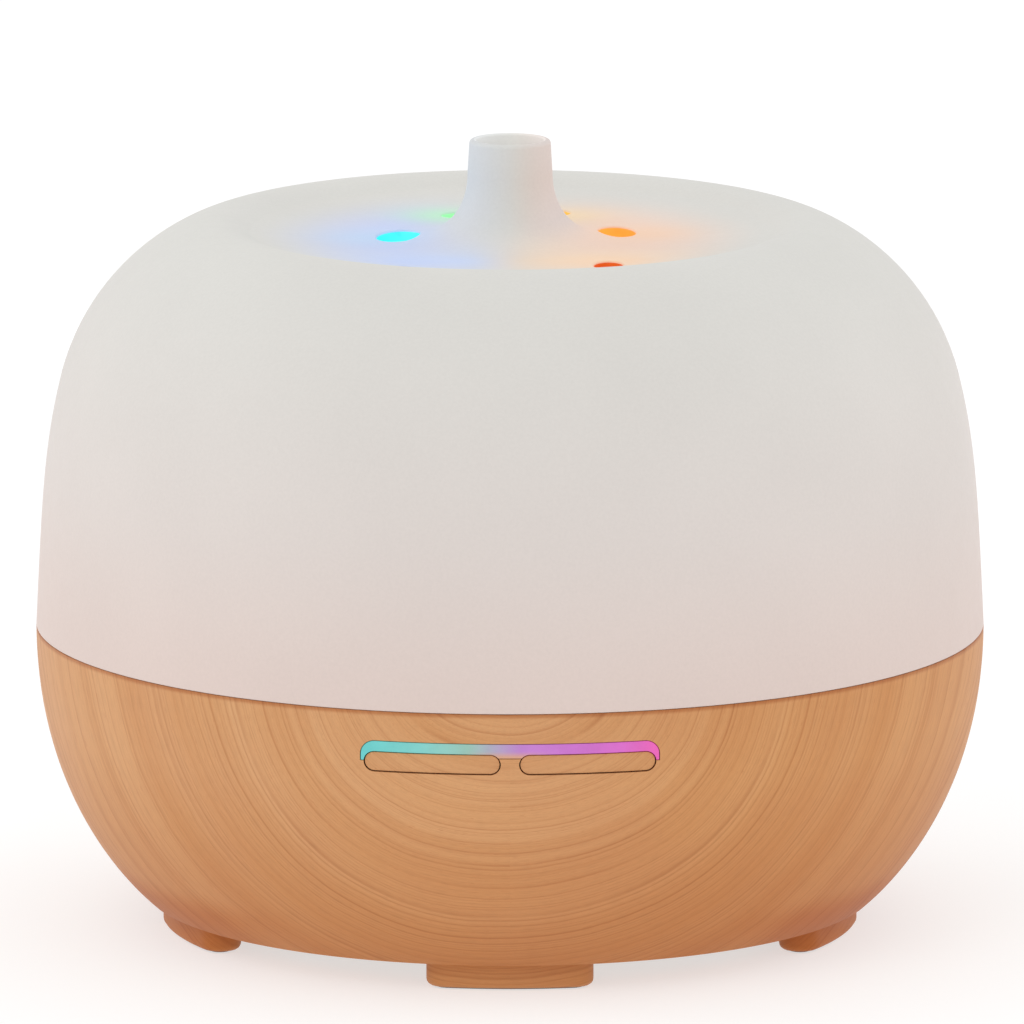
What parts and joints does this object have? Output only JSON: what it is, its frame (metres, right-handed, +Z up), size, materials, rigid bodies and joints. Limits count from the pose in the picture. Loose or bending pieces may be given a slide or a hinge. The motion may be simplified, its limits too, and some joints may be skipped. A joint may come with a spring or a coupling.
{
  "type": "essential oil diffuser",
  "caption": "Round tabletop essential oil diffuser: wood-grain bowl on feet, lift-off white cover with a chimney in a lit crater, water tank, ultrasonic disc, fan and two front buttons.",
  "frame": {"origin": "centre of the circle of feet, on the surface that the diffuser stands on", "axes": "+Z up along the axis of the round body, -Y towards the front with the buttons and the light bar, +Y towards the power inlet at the back"},
  "size_m": [0.168, 0.168, 0.1403],
  "materials": {
    "cover_plastic": "matt translucent white, fine spark-eroded texture",
    "guide_plastic": "satin natural white",
    "frosted_acrylic": "frosted, lit in changing colours",
    "wood_grain": "printed wood grain, satin lacquer",
    "light_guide_acrylic": "frosted, lit teal to magenta",
    "tank_plastic": "smooth white",
    "silicone": "matt translucent",
    "bottom_plastic": "fine matt texture",
    "pad_rubber": "matt",
    "disc_metal": "plated",
    "clamp_metal": "stamped",
    "screw_steel": "zinc plated",
    "fan_plastic": "satin black",
    "bearing_bronze": "sintered",
    "funnel_plastic": "satin grey",
    "white_laminate": "white solder mask",
    "green_laminate": "green solder mask",
    "led_lens": "clear resin",
    "black_plastic": "satin black",
    "copper_coil": "enamelled wire on ferrite",
    "capacitor_sleeve": "shrink sleeve",
    "heat_sink_metal": "extruded",
    "red_vinyl": "smooth",
    "black_vinyl": "smooth",
    "white_vinyl": "smooth"
  },
  "bodies": {
    "base": {"base_shell": "wood_grain", "light_guide": "light_guide_acrylic", "water_tank": "tank_plastic", "air_hood": "tank_plastic", "tank_seal": "silicone", "bottom_cover": "bottom_plastic", "foot_pad_1": "pad_rubber", "foot_pad_2": "pad_rubber", "foot_pad_3": "pad_rubber", "foot_pad_4": "pad_rubber", "foot_pad_5": "pad_rubber", "ultrasonic_disc": "disc_metal", "disc_seal": "pad_rubber", "disc_clamp": "clamp_metal", "clamp_screw_1": "screw_steel", "clamp_screw_2": "screw_steel", "clamp_screw_3": "screw_steel", "case_screw_1": "screw_steel", "case_screw_2": "screw_steel", "case_screw_3": "screw_steel", "case_screw_4": "screw_steel", "fan_screw_1": "screw_steel", "fan_screw_2": "screw_steel", "main_board_screw_1": "screw_steel", "main_board_screw_2": "screw_steel", "left_board_screw": "screw_steel", "right_board_screw": "screw_steel", "fan_housing": "fan_plastic", "fan_bearing": "bearing_bronze", "air_funnel": "funnel_plastic", "led_board": "white_laminate", "led_1": "led_lens", "led_2": "led_lens", "led_3": "led_lens", "led_4": "led_lens", "led_5": "led_lens", "led_6": "led_lens", "bar_led_left": "led_lens", "bar_led_right": "led_lens", "main_board": "green_laminate", "button_board": "green_laminate", "left_switch": "black_plastic", "right_switch": "black_plastic", "dc_jack": "black_plastic", "driver_transistor": "black_plastic", "controller_chip": "black_plastic", "inductor": "copper_coil", "capacitor": "capacitor_sleeve", "heat_sink": "heat_sink_metal", "jack_lead": "red_vinyl", "fan_lead": "black_vinyl", "disc_lead": "white_vinyl"},
    "cover": {"outer_cover": "cover_plastic", "mist_guide": "guide_plastic", "light_ring": "frosted_acrylic"},
    "left_button_body": {"left_button": "wood_grain", "left_plunger": "black_plastic"},
    "right_button_body": {"right_button": "wood_grain", "right_plunger": "black_plastic"},
    "fan_rotor_body": {"fan_rotor": "fan_plastic"}
  },
  "joints": [
    {"name": "cover_lift", "type": "slide", "parent": "base", "child": "cover", "axis": [0, 0, 1], "range_m": [0, 0.1]},
    {"name": "left_press", "type": "slide", "parent": "base", "child": "left_button_body", "axis": [0, 1, 0], "range_m": [0, 0.0006], "stiffness_N_per_m": 2500},
    {"name": "right_press", "type": "slide", "parent": "base", "child": "right_button_body", "axis": [0, 1, 0], "range_m": [0, 0.0006], "stiffness_N_per_m": 2500},
    {"name": "fan_spin", "type": "hinge", "parent": "base", "child": "fan_rotor_body", "pos_m": [0, 0.029, 0.012], "axis": [0, 0, 1], "continuous": true}
  ]
}
